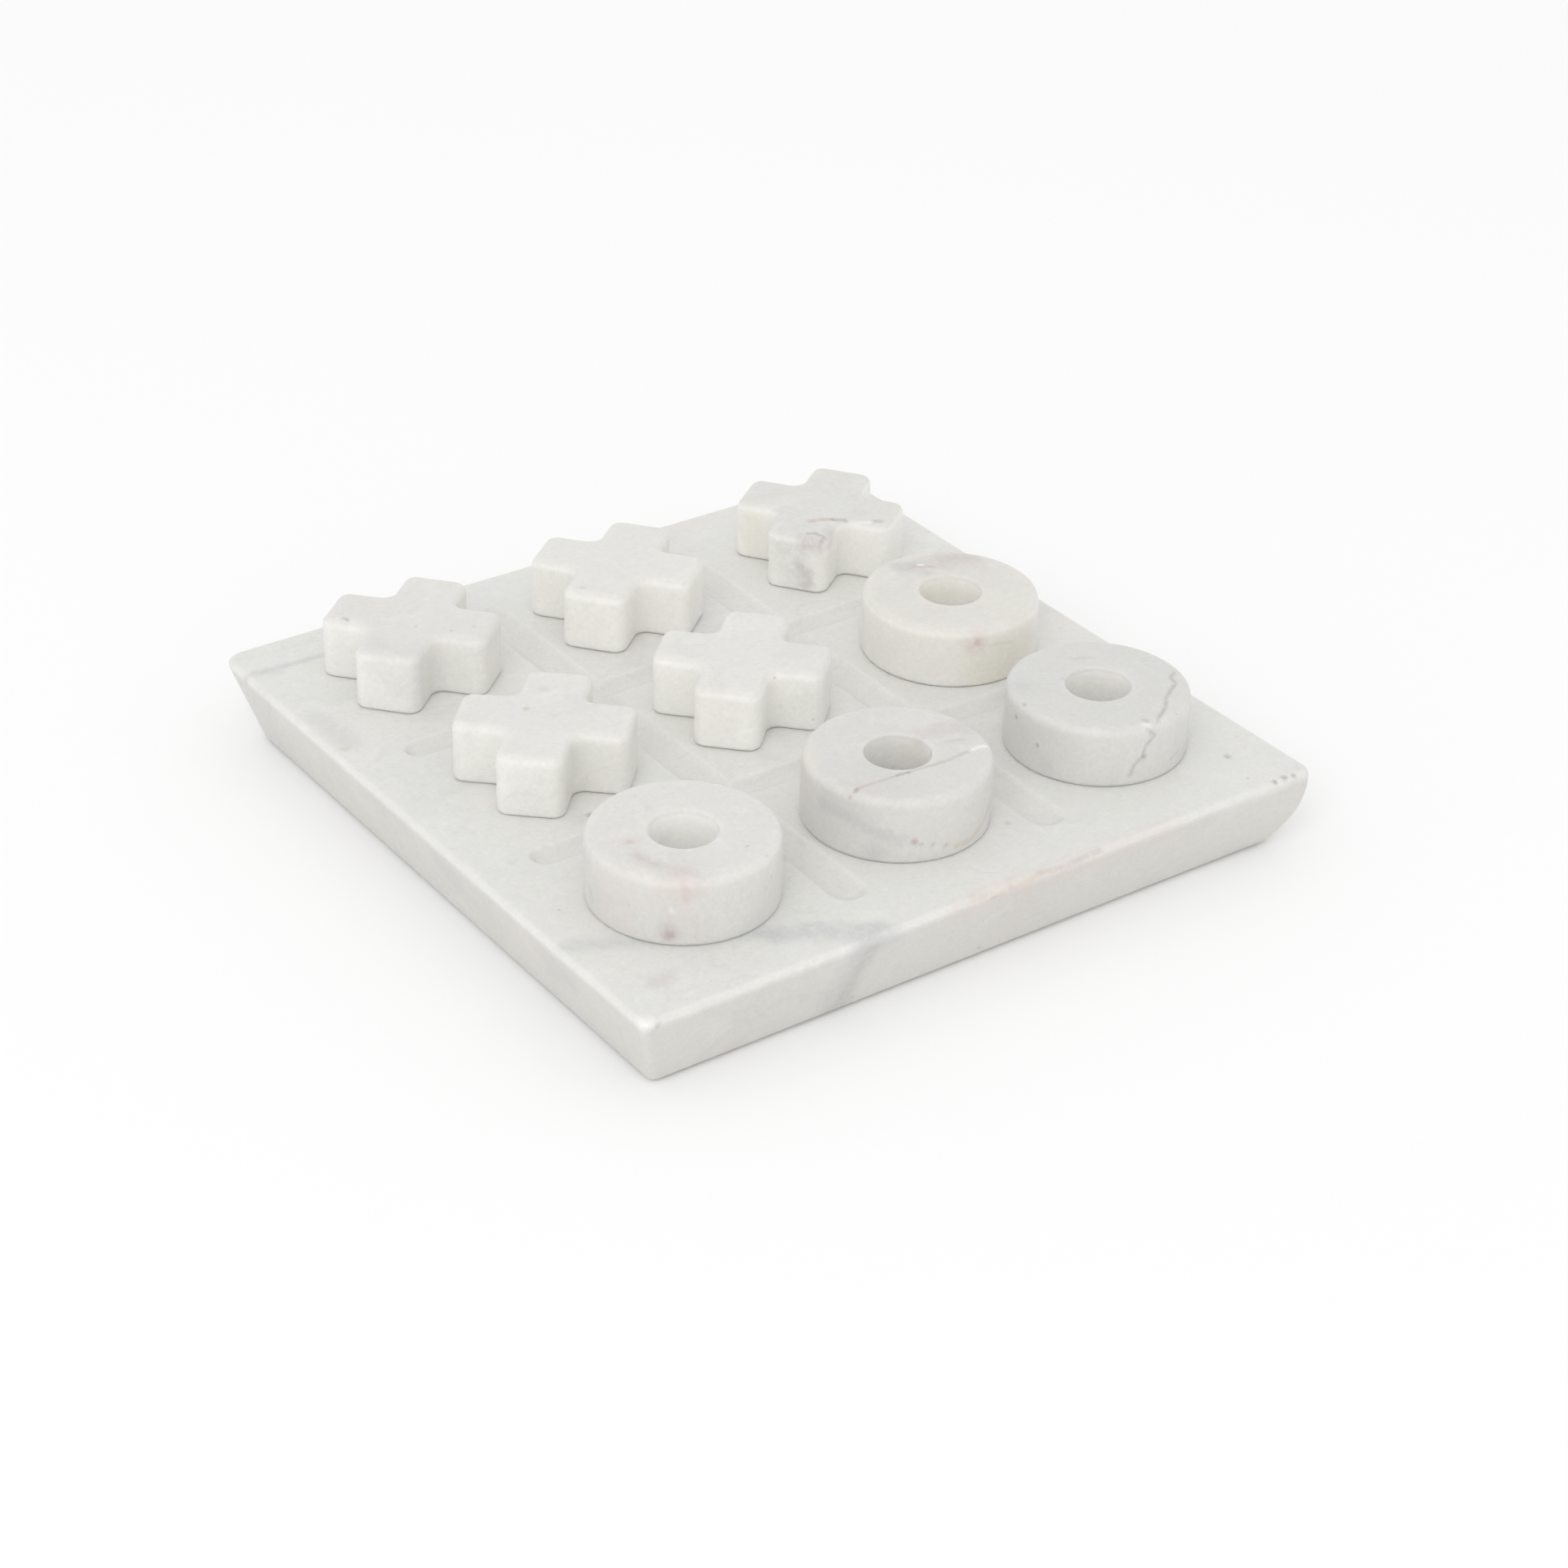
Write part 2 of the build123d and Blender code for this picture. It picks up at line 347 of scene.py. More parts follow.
class PieceSettings(bpy.types.PropertyGroup):
    top_radius: mm_property("Top edge radius", "Rounding of the top edges", 2.1)
    foot_radius: mm_property("Foot edge radius", "Rounding of the foot", 0.25)
    hole_diameter: mm_property("O hole diameter", "The hole through an O piece", 16.2)
    hole_radius: mm_property("O hole edge radius", "Rounding of the hole's top edge", 0.5)
    x_span: mm_property("X span", "From end to end of two arms", 44.0)
    arm_width: mm_property("X arm width", "Width of an X piece's arm", 17.0)
    arm_radius: mm_property("X upright radius", "Rounding of the upright edges", 3.2)
    wear: mm_property("Wear", "How uneven the hand finish left the faces", 0.3)
    cell: mm_property("Mesh size", "Size of the mesh's cells", 0.4, min=0.3)


def colour_property(name, description, red, green, blue):
    """An opaque colour."""
    return FloatVectorProperty(
        name=name, description=description, subtype="COLOR", size=4, min=0.0, max=1.0,
        default=(red, green, blue, 1.0))


class StoneSettings(bpy.types.PropertyGroup):
    board_colour: colour_property("Board", "Body colour of the board's marble", 0.755, 0.752, 0.722)
    o_colour: colour_property("O pieces", "Body colour of the O pieces' marble", 0.728, 0.722, 0.69)
    x_colour: colour_property("X pieces", "Body colour of the X pieces' marble", 0.758, 0.752, 0.718)
    felt_colour: colour_property("Felt", "Colour of the pads", 0.36, 0.34, 0.31)
    roughness: FloatProperty(
        name="Roughness", description="0 is polished, 1 is rough", default=0.42, min=0.0, max=1.0)


class StageSettings(bpy.types.PropertyGroup):
    distance: FloatProperty(
        name="Camera distance", description="From the aim point", default=0.8307, unit="LENGTH")
    azimuth: FloatProperty(
        name="Camera azimuth", description="0 looks along +Y", subtype="ANGLE",
        default=math.radians(-36.07))
    elevation: FloatProperty(
        name="Camera elevation", description="Above the horizon", subtype="ANGLE",
        default=math.radians(31.21))
    roll: FloatProperty(
        name="Camera roll", description="Tilt of the picture", subtype="ANGLE",
        default=math.radians(1.43))
    aim: FloatVectorProperty(
        name="Aim point", description="From the middle of the board's top face", size=3,
        subtype="TRANSLATION", default=(-0.0147, -0.0332, 0.0))
    lens: mm_property("Lens", "Focal length on a 36 mm sensor", 77.95)
    sky: FloatProperty(
        name="Sky", description="Strength of the even light from all round", default=0.90)
    key: FloatProperty(
        name="Key light", description="Power of the large soft light", unit="POWER", default=55.0)
    floor_colour: colour_property("Floor", "Colour of the floor", 0.96, 0.96, 0.96)


# ------------------------------
# Materials


def add_node(tree, kind, inputs=None, **values):
    """One node, with its properties set and its inputs linked or filled in."""
    node = tree.nodes.new("ShaderNode" + kind)
    for name, value in values.items():
        setattr(node, name, value)
    for socket, value in (inputs or {}).items():
        if isinstance(value, bpy.types.NodeSocket):
            tree.links.new(value, node.inputs[socket])
        else:
            node.inputs[socket].default_value = value
    return node


def maths(tree, operation, a, b=0.0):
    """A sum on one or two numbers."""
    return add_node(tree, "Math", {0: a, 1: b}, operation=operation).outputs[0]


def vector_maths(tree, operation, a, b):
    """A sum on two vectors or colours."""
    return add_node(tree, "VectorMath", {0: a, 1: b}, operation=operation).outputs[0]


def blend_colour(tree, factor, under, over):
    """The colour over laid on the colour under, as far as factor says."""
    inputs = {0: factor, 6: under, 7: over}
    return add_node(tree, "Mix", inputs, data_type="RGBA").outputs[2]


def ramp(tree, value, low, high, to_low=0.0, to_high=1.0):
    """A smooth ramp from to_low at low to to_high at high."""
    inputs = {0: value, 1: low, 2: high, 3: to_low, 4: to_high}
    return add_node(tree, "MapRange", inputs, interpolation_type="SMOOTHSTEP").outputs[0]


def cloud_noise(tree, place, scale, detail=2.0, roughness=0.5, distortion=0.0):
    """Noise from 0 to 1, with scale in features per millimetre."""
    inputs = {"Vector": place, "Scale": scale, "Detail": detail, "Roughness": roughness,
              "Distortion": distortion}
    return add_node(tree, "TexNoise", inputs)


def new_material(name):
    """An empty material, its node tree and the places on a piece in millimetres."""
    material = bpy.data.materials.new(name)
    material.use_nodes = True
    tree = material.node_tree
    tree.nodes.clear()
    coordinates = add_node(tree, "TexCoord").outputs["Object"]
    in_mm = add_node(tree, "Mapping", {"Vector": coordinates, "Scale": (MM, MM, MM)}).outputs[0]
    return material, tree, in_mm


def end_material(tree, inputs):
    """The surface that a material ends in."""
    shader = add_node(tree, "BsdfPrincipled", inputs)
    add_node(tree, "OutputMaterial", {"Surface": shader.outputs[0]})


def stone_colour(tree, place, ragged, body_colour):
    """The body colour with the stone's own veils, veins, crystals and flecks."""
    # A field that bends everything in the stone a little, from -15 to 15 mm.
    bend = cloud_noise(tree, place, 0.055, 3.0, 0.55).outputs["Color"]
    bend = vector_maths(tree, "SUBTRACT", bend, (0.5, 0.5, 0.5))
    far_bend = vector_maths(tree, "MULTIPLY", bend, (30.0, 30.0, 30.0))
    bent = vector_maths(tree, "ADD", place, far_bend)

    # Veils of grey and of warm white, and a few faint veins.
    veil = cloud_noise(tree, bent, 0.022, 4.0, 0.55).outputs["Fac"]
    colour = blend_colour(tree, ramp(tree, veil, 0.50, 0.78, 0.0, 0.20), body_colour, GREY)
    warm = cloud_noise(tree, bent, 0.035, 2.0, 0.5, 0.4).outputs["Fac"]
    colour = blend_colour(tree, ramp(tree, warm, 0.52, 0.80, 0.0, 0.13), colour, PINK)
    pale = cloud_noise(tree, bent, 0.07, 3.0, 0.6).outputs["Fac"]
    colour = blend_colour(tree, ramp(tree, pale, 0.50, 0.75, 0.0, 0.14), colour, WHITE)
    vein = cloud_noise(tree, bent, 0.014, 3.0, 0.5).outputs["Fac"]
    vein = maths(tree, "ABSOLUTE", maths(tree, "SUBTRACT", vein, 0.47))
    patchy = ramp(tree, ragged, 0.35, 0.65, 0.25, 1.0)
    vein = maths(tree, "MULTIPLY", ramp(tree, vein, 0.0, 0.012, 0.14, 0.0), patchy)
    colour = blend_colour(tree, vein, colour, GREY)

    # The crystals: a fine mottle and single grains that are lighter or darker.
    mottle = cloud_noise(tree, place, 1.1, 5.0, 0.7).outputs["Fac"]
    colour = blend_colour(tree, ramp(tree, mottle, 0.30, 0.50, 0.12, 0.0), colour, GREY)
    colour = blend_colour(tree, ramp(tree, mottle, 0.50, 0.72, 0.0, 0.16), colour, WHITE)
    crystal = add_node(tree, "TexVoronoi", {"Vector": place, "Scale": 0.85, "Randomness": 1.0})
    tone = add_node(tree, "SeparateColor", {0: crystal.outputs["Color"]}).outputs[0]
    colour = blend_colour(tree, ramp(tree, tone, 0.80, 1.0, 0.0, 0.08), colour, WHITE)
    colour = blend_colour(tree, ramp(tree, tone, 0.22, 0.0, 0.0, 0.07), colour, GREY)

    # Rare rusty flecks, one in a few hundred crystals.
    fleck = add_node(tree, "TexVoronoi", {"Vector": place, "Scale": 0.16, "Randomness": 1.0})
    chosen = add_node(tree, "SeparateColor", {0: fleck.outputs["Color"]}).outputs[1]
    chosen = ramp(tree, chosen, 0.88, 0.92)
    size = ramp(tree, fleck.outputs["Distance"], 0.03, 0.10, 0.35, 0.0)
    return blend_colour(tree, maths(tree, "MULTIPLY", chosen, size), colour, BROWN)


def piece_colour(tree, colour, ragged):
    """The stone with each part's painted light and shade, the piece's own marks and wear, a painted
    highlight on sharp edges and painted shade in hollows.
    """
    # Each part's tone with its painted light and shade.
    shade = add_node(tree, "Attribute", attribute_name="shade").outputs["Color"]
    colour = vector_maths(tree, "MULTIPLY", colour, shade)
    marks = add_node(tree, "Attribute", attribute_name="marks")
    broken = ramp(tree, ragged, 0.30, 0.58, 0.55, 1.0)
    kept = maths(tree, "SUBTRACT", 1.0, maths(tree, "MULTIPLY", marks.outputs["Alpha"], broken))
    under = vector_maths(tree, "MULTIPLY", colour, kept)
    over = vector_maths(tree, "MULTIPLY", marks.outputs["Color"], broken)
    colour = vector_maths(tree, "ADD", under, over)

    # Painted highlight: sharp edges are paler. Painted shade: hollows are darker and browner.
    sharpness = add_node(tree, "NewGeometry").outputs["Pointiness"]
    colour = blend_colour(tree, ramp(tree, sharpness, 0.51, 0.60, 0.0, 0.04), colour, WHITE)
    return blend_colour(tree, ramp(tree, sharpness, 0.49, 0.42, 0.0, 0.20), colour, BROWN)


def marble(name, body_colour, seed, depth):
    """Honed white marble with a piece's own marks. Light goes in as far as depth, in mm."""
    base = bpy.context.scene.marble_stone.roughness
    material, tree, in_mm = new_material(name)
    # Each kind of piece is cut from another place in the stone.
    place = add_node(tree, "Mapping", {"Vector": in_mm, "Location": (seed * 37.0, seed * 11.0, 0)})
    place = place.outputs[0]
    ragged = cloud_noise(tree, place, 0.6, 4.0, 0.65).outputs["Fac"]
    colour = piece_colour(tree, stone_colour(tree, place, ragged, body_colour), ragged)

    # The hone leaves a soft, uneven sheen, and the grain stands a few hundredths proud.
    haze = cloud_noise(tree, place, 0.12, 4.0, 0.6).outputs["Fac"]
    roughness = ramp(tree, haze, 0.3, 0.7, base - 0.07, base + 0.10)
    grain = cloud_noise(tree, place, 1.8, 4.0, 0.65).outputs["Fac"]
    grain_bump = add_node(
        tree, "Bump", {"Height": grain, "Strength": 0.35, "Distance": 0.02 / MM})
    swell = cloud_noise(tree, place, 0.25, 2.0, 0.5).outputs["Fac"]
    swell_bump = add_node(
        tree, "Bump", {"Height": swell, "Strength": 0.5, "Distance": 0.06 / MM,
                       "Normal": grain_bump.outputs[0]})
    end_material(tree, {
        "Base Color": colour, "Roughness": roughness, "Normal": swell_bump.outputs[0], "IOR": 1.5,
        "Subsurface Weight": 0.5, "Subsurface Radius": (1.0, 0.92, 0.82),
        "Subsurface Scale": depth / MM,
    })
    return material


def felt(name):
    """Pressed felt: short tangled fibres in two tones."""
    base = tuple(bpy.context.scene.marble_stone.felt_colour)
    darker = tuple(0.55 * part for part in base[:3]) + (1.0,)
    material, tree, place = new_material(name)
    fibres = cloud_noise(tree, place, 3.0, 5.0, 0.75, 2.0).outputs["Fac"]
    blotch = cloud_noise(tree, place, 0.4, 2.0).outputs["Fac"]
    colour = blend_colour(tree, ramp(tree, fibres, 0.35, 0.65), darker, base)
    colour = blend_colour(tree, ramp(tree, blotch, 0.4, 0.7, 0.0, 0.3), colour, darker)
    roughness = ramp(tree, fibres, 0.3, 0.7, 0.85, 1.0)
    bump = add_node(tree, "Bump", {"Height": fibres, "Strength": 0.8, "Distance": 0.15 / MM})
    end_material(tree, {
        "Base Color": colour, "Roughness": roughness, "Normal": bump.outputs[0],
        "Sheen Weight": 0.3,
    })
    return material


# ------------------------------
# Shapes


def finish_piece(bm, name, node, body, material):
    """Brings a finished shape to metres, rides it on its body and gives it its material."""
    bmesh.ops.scale(bm, vec=(1 / MM, 1 / MM, 1 / MM), verts=bm.verts)
    bmesh.ops.recalc_face_normals(bm, faces=bm.faces)
    for face in bm.faces:
        face.smooth = True
    mesh = bpy.data.meshes.new(name)
    bm.to_mesh(mesh)
    bm.free()
    mesh.materials.append(material)
    piece = bpy.data.objects.new(name, mesh)
    bpy.context.scene.collection.objects.link(piece)
    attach(piece, body)
    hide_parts(node)


def distance_to(place, points):
    """How far a place is from a line through some points."""
    nearest = (place - points[0]).length
    for start, end in zip(points, points[1:]):
        run = end - start
        share = (place - start).dot(run) / max(run.length_squared, 1e-9)
        nearest = min(nearest, (place - start - run * min(max(share, 0.0), 1.0)).length)
    return nearest


def paint_marks(bm, piece, origin, shade_of):
    """Wears a piece's marks into its face, and keeps their colours and the tone with its painted light
    and shade on its points.
    """
    marks = bm.verts.layers.float_color.new("marks")
    shade = bm.verts.layers.float_color.new("shade")
    for vert in bm.verts:
        share = shade_of(vert)
        vert[marks] = (0.0, 0.0, 0.0, 0.0)
        vert[shade] = (share[0], share[1], share[2], 1.0)
    for tint, half_width, strength, depth, places in MARKS.get(piece, ()):
        points = [origin + Vector(place) for place in places]
        reach = half_width * MARK_GONE
        low = [min(point[axis] for point in points) - reach for axis in range(3)]
        high = [max(point[axis] for point in points) + reach for axis in range(3)]
        for vert in bm.verts:
            place = vert.co
            if not low[0] < place.x < high[0]:
                continue
            if not (low[1] < place.y < high[1] and low[2] < place.z < high[2]):
                continue
            wander = 1.0 + MARK_WANDER * noise.noise(place * (0.9 / max(half_width, 0.6)))
            away = distance_to(place, points) * wander
            share = 1.0 - smooth_rise(MARK_FULL * half_width, reach, away)
            if share > 0.0:
                cover = strength * share
                old = vert[marks]
                mixed = [old[i] * (1 - cover) + tint[i] * cover for i in range(3)]
                vert[marks] = (*mixed, old[3] * (1 - cover) + cover)
                vert.co = place - vert.normal * (depth * share)


def remeshed(bm, cell):
    """The same solid in small even cells."""
    mesh = bpy.data.meshes.new("blank")
    bm.to_mesh(mesh)
    bm.free()
    blank = bpy.data.objects.new("blank", mesh)
    bpy.context.scene.collection.objects.link(blank)
    remesh = blank.modifiers.new("cells", "REMESH")
    remesh.mode = "VOXEL"
    remesh.voxel_size = cell
    depsgraph = bpy.context.evaluated_depsgraph_get()
    fine = bpy.data.meshes.new_from_object(blank.evaluated_get(depsgraph))
    bpy.data.objects.remove(blank)
    bpy.data.meshes.remove(mesh)
    result = bmesh.new()
    result.from_mesh(fine)
    bpy.data.meshes.remove(fine)
    return result


def hand_finish(bm, size, seed):
    """Softens a cut piece as hand rubbing does and brings it back to its size."""
    settings = bpy.context.scene.marble_pieces
    for _ in range(RUBBING_PASSES):
        bmesh.ops.smooth_vert(
            bm, verts=bm.verts, factor=0.5, use_axis_x=True, use_axis_y=True, use_axis_z=True)
    bm.normal_update()
    start = Vector((seed * 17.3, seed * 5.1, seed * 9.7))
    height = size.z
    for vert in bm.verts:
        swell = noise.noise(vert.co * 0.055 + start)
        ripple = noise.noise(vert.co * 0.23 + start)
        off = settings.wear * (0.55 * swell + 0.2 * ripple)
        above_foot = smooth_rise(0.0, 1.2, vert.co.z)
        below_top = 1.0 - 0.6 * smooth_rise(height - 1.0, height, vert.co.z)
        vert.co += vert.normal * off * above_foot * below_top
    fit = []
    for axis in range(3):
        reach = [vert.co[axis] for vert in bm.verts]
        fit.append((min(reach), size[axis] / (max(reach) - min(reach))))
    for vert in bm.verts:
        vert.co.x *= fit[0][1]
        vert.co.y *= fit[1][1]
        vert.co.z = (vert.co.z - fit[2][0]) * fit[2][1]
    bm.normal_update()


def edges_where(bm, test):
    """The edges with both ends in places that pass a test."""
    return [edge for edge in bm.edges if all(test(vert.co) for vert in edge.verts)]


def edge_rise(edge):
    """How much higher one end of an edge is than the other."""
    return abs(edge.verts[0].co.z - edge.verts[1].co.z)


def round_edges(bm, edges, radius, steps):
    """Rounds edges to a radius."""
    bmesh.ops.bevel(
        bm, geom=edges, offset=radius, offset_type="OFFSET", segments=steps, profile=0.5,
        affect="EDGES", material=-1)


def cut_ring(outer_radius, height):
    """A ring as it comes from the core drill, with its edges eased."""
    settings = bpy.context.scene.marble_pieces
    hole_radius = settings.hole_diameter / 2
    steps = 192
    bm = bmesh.new()
    section = ((hole_radius, 0), (outer_radius, 0), (outer_radius, height), (hole_radius, height))
    verts = [bm.verts.new((x, 0, z)) for x, z in section]
    edges = [bm.edges.new((verts[i - 1], verts[i])) for i in range(len(verts))]
    bmesh.ops.spin(
        bm, geom=verts + edges, cent=(0, 0, 0), axis=(0, 0, 1), angle=2 * math.pi, steps=steps,
        use_merge=True, use_duplicate=False)
    bmesh.ops.remove_doubles(bm, verts=bm.verts, dist=0.001)
    bmesh.ops.recalc_face_normals(bm, faces=bm.faces)
    middle = (hole_radius + outer_radius) / 2
    high = height / 2
    rim = edges_where(bm, lambda co: co.z > high and co.xy.length > middle)
    round_edges(bm, rim, settings.top_radius, WIDE_STEPS)
    by_hole = hole_radius + TOUCHING
    hole_rim = edges_where(bm, lambda co: co.z > height - TOUCHING and co.xy.length < by_hole)
    round_edges(bm, hole_rim, settings.hole_radius, MIDDLING_STEPS)
    foot = edges_where(bm, lambda co: co.z < TOUCHING and co.xy.length > middle)
    round_edges(bm, foot, settings.foot_radius, NARROW_STEPS)
    return bm


def cut_cross(height):
    """A cross as it is sawn from the slab, with its edges eased."""
    settings = bpy.context.scene.marble_pieces
    half_span = settings.x_span / 2
    half_arm = settings.arm_width / 2
    bm = bmesh.new()
    bmesh.ops.create_grid(bm, x_segments=3, y_segments=3, size=half_span)
    for vert in bm.verts:
        for axis in (0, 1):
            inner = abs(vert.co[axis]) < half_span * 0.9
            vert.co[axis] = math.copysign(half_arm if inner else half_span, vert.co[axis])
    empty_corners = []
    for face in bm.faces:
        middle = face.calc_center_median()
        if abs(middle.x) > half_arm and abs(middle.y) > half_arm:
            empty_corners.append(face)
    bmesh.ops.delete(bm, geom=empty_corners, context="FACES")
    bmesh.ops.dissolve_faces(bm, faces=bm.faces)
    raised = bmesh.ops.extrude_face_region(bm, geom=bm.faces[:])
    top = [part for part in raised["geom"] if isinstance(part, bmesh.types.BMVert)]
    bmesh.ops.translate(bm, vec=(0, 0, height), verts=top)
    bmesh.ops.recalc_face_normals(bm, faces=bm.faces)
    upright = [edge for edge in bm.edges if edge_rise(edge) > height / 2]
    round_edges(bm, upright, settings.arm_radius, WIDE_STEPS)
    rim = edges_where(bm, lambda co: co.z > height - TOUCHING)
    round_edges(bm, rim, settings.top_radius, WIDE_STEPS)
    foot = edges_where(bm, lambda co: co.z < TOUCHING)
    round_edges(bm, foot, settings.foot_radius, NARROW_STEPS)
    return bm


def make_pad_shape(low, high):
    """A punched felt disc: soft rims, a pressed middle and loose fibres on its edge."""
    radius = (high.x - low.x) / 2
    height = high.z - low.z
    bm = bmesh.new()
    bmesh.ops.create_cone(
        bm, cap_ends=True, segments=72, radius1=radius, radius2=radius, depth=height)
    rims = [edge for edge in bm.edges if edge_rise(edge) < TOUCHING]
    round_edges(bm, rims, height * 0.3, NARROW_STEPS)
    bm = remeshed(bm, 0.2)
    bm.normal_update()
    middle = (low + high) / 2
    for vert in bm.verts:
        place = vert.co.copy()
        fibres = 0.5 + 0.5 * noise.noise((place + middle) * 3.1)
        fibres += 0.25 * noise.noise((place + middle) * 7.7)
        share = 0.16 if abs(vert.normal.z) < 0.6 else 0.06
        vert.co = place - vert.normal * (share * max(fibres, 0.0))
    bmesh.ops.translate(bm, vec=middle, verts=bm.verts)
    return bm


# ------------------------------
# The board


def mesh_lines(half, keys, fine, coarse):
    """Places of the mesh lines across the board: close together by the keys, wider elsewhere."""
    lines = [-half]
    while lines[-1] < half:
        near = min(abs(lines[-1] - key) - reach for key, reach in keys)
        step = min(coarse, fine + max(near, 0.0) * 0.4)
        lines.append(lines[-1] + step)
    lines[-1] = half
    return lines


def groove_lines(settings):
    """The grooves: the axis each one runs along, where it stands and half its width."""
    spread = settings.grid_spacing / 2
    grooves = []
    for side in (-1, 1):
        grooves.append((0, settings.grid_shift + side * spread, settings.width_along_x / 2))
        grooves.append((1, side * spread, settings.width_along_y / 2))
    return grooves


def groove_depth(x, y, grooves, run, deep):
    """How deep the grooves are at one place on the top face, with soft edges and tool streaks."""
    soft = 0.22
    deepest = 0.0
    for number, (axis, line, half_width) in enumerate(grooves):
        along, across = (x, y) if axis == 0 else (y, x)
        seed = 13.0 * number
        drift = 0.22 * noise.noise(Vector((along * 0.035, seed, 0)))
        side = across - line - drift
        past_end = max(abs(along) - (run - half_width), 0.0)
        distance = math.hypot(side, past_end)
        if distance > half_width + 1.5:
            continue
        width = half_width * (1 + 0.04 * noise.noise(Vector((along * 0.06, seed, 5))))
        share = distance / width
        cut = deep * (1 - share**3) if share < 1 else 3 * deep * (1 - share)
        streak = 0.11 * noise.noise(Vector((along * 0.05, side * 1.5, seed)))
        streak += 0.03 * noise.noise(Vector((along * 0.25, side * 2.6, seed + 3)))
        inside = smooth_rise(0.0, deep * 0.4, cut)
        rounded = 0.5 * (cut + math.hypot(cut, soft)) + streak * inside
        deepest = max(deepest, rounded * smooth_rise(-1.0, -0.4, cut))
    return deepest


def corner_radius(x, y):
    """How round the board's upright corners are: the left one is rounded the most."""
    if x < 0 and y < 0:
        return 2.2
    if x < 0:
        return 5.0
    return 3.0


def board_profile(half, top, bottom, settings):
    """How far out and how high each ring of the side stands, from the top face to the foot."""
    lean = math.atan2(settings.side_undercut, top - bottom)
    edge = settings.edge_radius
    foot = settings.foot_radius
    out = half - edge
    profile = []
    steps = 7
    for step in range(1, steps + 1):
        angle = RIGHT_ANGLE - (RIGHT_ANGLE + lean) * step / steps
        profile.append((out + edge * math.cos(angle), top - edge + edge * math.sin(angle)))
    first_out, first_high = profile[-1]
    foot_high = bottom + foot * (1 - math.sin(lean))
    rows = 12
    for row in range(1, rows + 1):
        high = first_high + (foot_high - first_high) * row / rows
        profile.append((first_out - (first_high - high) * math.tan(lean), high))
    foot_out = profile[-1][0] - foot * math.cos(lean)
    for step in (1, 2, 3):
        angle = -lean - (RIGHT_ANGLE - lean) * step / 3
        profile.append((foot_out + foot * math.cos(angle), bottom + foot + foot * math.sin(angle)))
    return profile


def pull_ring(place, old_half, new_half):
    """Moves one point of a ring in or out, keeping the ring's corners as round as they were."""
    radius = corner_radius(place.x, place.y)
    old_flat = old_half - radius
    new_flat = new_half - radius
    for axis in (0, 1):
        size = abs(place[axis])
        if size <= old_flat:
            size *= new_flat / old_flat
        else:
            size += new_half - old_half
        place[axis] = math.copysign(size, place[axis])


def round_corner(place, half):
    """Brings a point of the square top face inside the rounded corner."""
    radius = corner_radius(place.x, place.y)
    flat = half - radius
    a = (abs(place.x) - flat) / radius
    b = (abs(place.y) - flat) / radius
    if a > 0 and b > 0:
        x = flat + radius * a * math.sqrt(1 - b * b / 2)
        y = flat + radius * b * math.sqrt(1 - a * a / 2)
        place.x = math.copysign(x, place.x)
        place.y = math.copysign(y, place.y)


def board_keys(grooves, run):
    """Where the board's mesh lines stand close together: by the grooves and by small marks."""
    keys = ([(-run, 3.0), (run, 3.0)], [(-run, 3.0), (run, 3.0)])
    for axis, line, half_width in grooves:
        keys[1 - axis].append((line, half_width + 0.7))
    for _, half_width, _, _, places in MARKS["board"]:
        if half_width < 1.5 and len(places) == 1:
            for axis in (0, 1):
                keys[axis].append((places[0][axis], half_width))
    return keys


def board_face(flat, top, run, settings):
    """The top face with its grooves."""
    grooves = groove_lines(settings)
    keys = board_keys(grooves, run)
    places = [mesh_lines(flat, keys[axis], FINE_CELL, COARSE_CELL) for axis in (0, 1)]
    counts = [len(lines) - 1 for lines in places]
    bm = bmesh.new()
    bmesh.ops.create_grid(bm, x_segments=counts[0], y_segments=counts[1], size=flat)
    for vert in bm.verts:
        for axis in (0, 1):
            index = round((vert.co[axis] / flat + 1) / 2 * counts[axis])
            vert.co[axis] = places[axis][index]
        depth = groove_depth(vert.co.x, vert.co.y, grooves, run, settings.groove_depth)
        vert.co.z = top - depth
        round_corner(vert.co, flat)
    return bm


def add_sides(bm, flat, profile):
    """Draws the edge of the top face out and down along a profile, and closes the foot."""
    ring = [edge for edge in bm.edges if edge.is_boundary]
    old_out = flat
    for out, height in profile:
        grown = bmesh.ops.extrude_edge_only(bm, edges=ring)["geom"]
        ring = [part for part in grown if isinstance(part, bmesh.types.BMEdge)]
        for vert in (part for part in grown if isinstance(part, bmesh.types.BMVert)):
            pull_ring(vert.co, old_out, out)
            vert.co.z = height
        old_out = out
    bmesh.ops.holes_fill(bm, edges=[edge for edge in bm.edges if edge.is_boundary], sides=0)
    bmesh.ops.recalc_face_normals(bm, faces=bm.faces)
    bm.normal_update()


